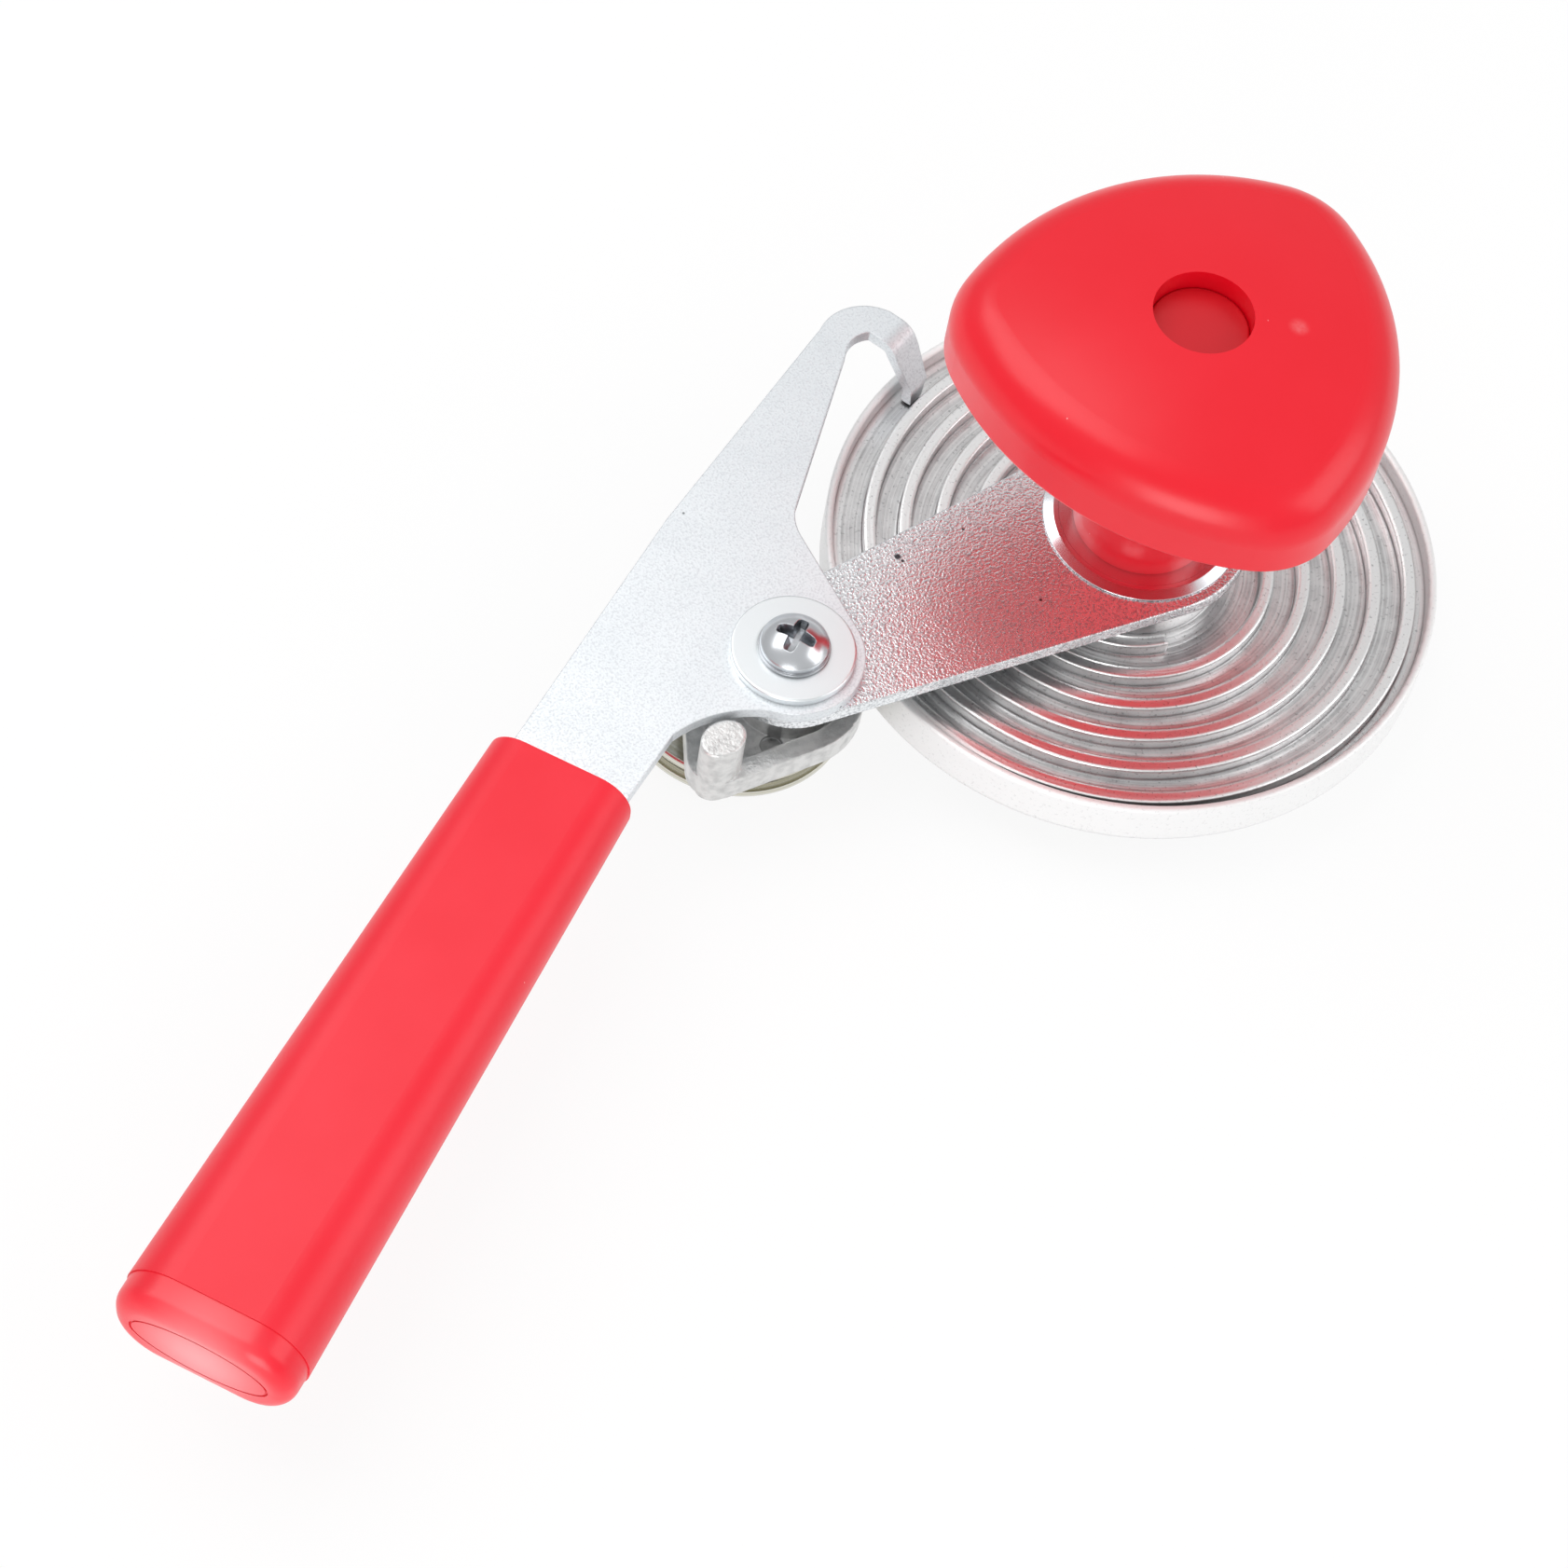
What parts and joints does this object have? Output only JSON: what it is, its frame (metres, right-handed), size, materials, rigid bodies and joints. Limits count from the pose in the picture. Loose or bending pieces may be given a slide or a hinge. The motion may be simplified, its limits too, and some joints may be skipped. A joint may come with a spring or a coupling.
{
  "type": "manual can seamer",
  "caption": "Hand-turned can seamer: a knobbed disc with a spiral groove, a crank arm, and a hooked lever whose finger follows the groove and feeds a seaming roller.",
  "frame": {"origin": "on the seaming axis in the plane of the disc's underside", "axes": "+Z along the seaming axis, up towards the knob; -X along the crank arm at rest"},
  "size_m": [0.2395, 0.126, 0.0738],
  "materials": {
    "red_plastic": "satin-glossy red moulding",
    "cast_aluminium": "die cast, tumbled",
    "zinc_steel": "bright zinc plate",
    "bright_steel": "polished plate",
    "plain_steel": "plain turned or pressed steel",
    "roller_steel": "turned, passivated to a faint yellow",
    "bronze": "plain sintered bush"
  },
  "bodies": {
    "head": {"seaming_disc": "cast_aluminium", "thrust_washer": "zinc_steel", "cup_washer": "bright_steel", "knob": "red_plastic", "knob_plug": "red_plastic", "spacer_sleeve": "plain_steel", "centre_washer": "plain_steel", "lock_washer": "plain_steel", "centre_bolt": "plain_steel", "centre_nut": "plain_steel"},
    "arm": {"crank_arm": "zinc_steel", "arm_bush": "bronze"},
    "lever": {"pivot_bush": "bronze", "lever_plate": "zinc_steel", "grip": "red_plastic", "grip_end_cap": "red_plastic", "pivot_washer": "bright_steel", "pivot_screw": "bright_steel", "roller_carrier": "cast_aluminium", "roller_axle": "plain_steel", "roller_washers": "plain_steel", "circlip": "plain_steel"},
    "roller": {"seaming_roller": "roller_steel", "roller_bush": "bronze"}
  },
  "joints": [
    {"name": "arm_turn", "type": "hinge", "parent": "head", "child": "arm", "pos_m": [0, 0, 0], "axis": [0, 0, 1], "range_deg": [0, 1550]},
    {"name": "lever_feed", "type": "hinge", "parent": "arm", "child": "lever", "pos_m": [-0.0611, 0, 0], "axis": [0, 0, 1], "range_deg": [-23, 0]},
    {"name": "roller_spin", "type": "hinge", "parent": "lever", "child": "roller", "pos_m": [-0.06345, 0.00874, 0], "axis": [0, 0, 1], "continuous": true}
  ],
  "couplings": [
    {"joint": "lever_feed", "follows": "arm_turn", "ratio": -0.014833}
  ]
}
